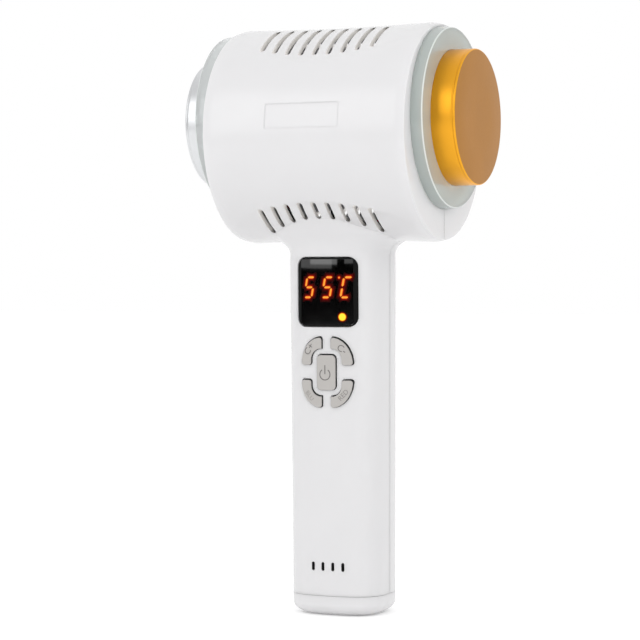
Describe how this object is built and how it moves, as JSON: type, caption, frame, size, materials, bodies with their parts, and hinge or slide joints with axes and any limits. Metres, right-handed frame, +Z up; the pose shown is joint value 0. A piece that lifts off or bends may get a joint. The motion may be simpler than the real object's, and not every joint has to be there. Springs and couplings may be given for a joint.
{
  "type": "hot and cold facial machine",
  "caption": "Handheld facial device shaped like a small hammer: a vented barrel with a warm metal disc at one end and a cold one at the other, on a straight handle with display and keys.",
  "frame": {"origin": "centre of the handle's foot, on the plane it stands on", "axes": "+Z up the handle, +X out of the hot (gold) head, -X out of the cold (silver) head, -Y out of the display and keys"},
  "size_m": [0.101, 0.075, 0.2043],
  "materials": {
    "white_shell": "gloss",
    "grey_key": "satin",
    "gold_head": "satin gold anodised",
    "silver_head": "polished",
    "clear_ring": "translucent",
    "black_lens": "gloss",
    "dark_plastic": "matte",
    "green_board": "satin",
    "bare_metal": "brushed",
    "sink_metal": "extruded",
    "cream_plastic": "matte",
    "ceramic": "matte ceramic",
    "grey_foam": "matte foam",
    "copper_wire": "bare",
    "red_lead": "matte",
    "lamp": "lit"
  },
  "bodies": {
    "housing": {"front_shell": "white_shell", "rear_shell": "white_shell", "base_cap": "white_shell", "hot_head": "gold_head", "cold_head": "silver_head", "hot_light_ring": "clear_ring", "cold_light_ring": "clear_ring", "display_lens": "black_lens", "display_module": "dark_plastic", "status_led": "lamp", "power_switch": "bare_metal", "warmer_switch": "bare_metal", "cooler_switch": "bare_metal", "blue_switch": "bare_metal", "red_switch": "bare_metal", "control_board": "green_board", "driver_board": "green_board", "hot_led_board": "green_board", "cold_led_board": "green_board", "board_screw_1": "bare_metal", "board_screw_2": "bare_metal", "shell_screw_1": "bare_metal", "shell_screw_2": "bare_metal", "shell_screw_3": "bare_metal", "shell_screw_4": "bare_metal", "fan_screw_1": "bare_metal", "fan_screw_2": "bare_metal", "film_heater": "copper_wire", "heater_pad": "grey_foam", "hot_sensor": "dark_plastic", "hot_mount": "cream_plastic", "peltier_module": "ceramic", "heat_sink": "sink_metal", "fan_frame": "dark_plastic", "cold_gasket": "grey_foam", "cold_sensor": "dark_plastic", "cold_mount": "cream_plastic", "choke_coil": "dark_plastic", "buzzer": "dark_plastic", "dc_jack": "dark_plastic", "jack_pin": "bare_metal", "power_lead": "red_lead", "board_lead": "dark_plastic", "fan_lead": "dark_plastic", "heater_lead": "red_lead", "peltier_lead": "red_lead", "hot_led_lead": "dark_plastic", "cold_led_lead": "dark_plastic"},
    "power_button": {"power_key": "grey_key", "power_plunger": "dark_plastic"},
    "warmer_button": {"warmer_key": "grey_key", "warmer_plunger": "dark_plastic"},
    "cooler_button": {"cooler_key": "grey_key", "cooler_plunger": "dark_plastic"},
    "blue_button": {"blue_key": "grey_key", "blue_plunger": "dark_plastic"},
    "red_button": {"red_key": "grey_key", "red_plunger": "dark_plastic"},
    "fan": {"fan_rotor": "dark_plastic"}
  },
  "joints": [
    {"name": "power_press", "type": "slide", "parent": "housing", "child": "power_button", "axis": [0, 1, 0], "range_m": [0, 0.0005], "stiffness_N_per_m": 900, "springref_m": -0.0002},
    {"name": "warmer_press", "type": "slide", "parent": "housing", "child": "warmer_button", "axis": [0, 1, 0], "range_m": [0, 0.0005], "stiffness_N_per_m": 900, "springref_m": -0.0002},
    {"name": "cooler_press", "type": "slide", "parent": "housing", "child": "cooler_button", "axis": [0, 1, 0], "range_m": [0, 0.0005], "stiffness_N_per_m": 900, "springref_m": -0.0002},
    {"name": "blue_press", "type": "slide", "parent": "housing", "child": "blue_button", "axis": [0, 1, 0], "range_m": [0, 0.0005], "stiffness_N_per_m": 900, "springref_m": -0.0002},
    {"name": "red_press", "type": "slide", "parent": "housing", "child": "red_button", "axis": [0, 1, 0], "range_m": [0, 0.0005], "stiffness_N_per_m": 900, "springref_m": -0.0002},
    {"name": "fan_spin", "type": "hinge", "parent": "housing", "child": "fan", "pos_m": [0.0049, 0, 0.17165], "axis": [1, 0, 0], "continuous": true}
  ]
}
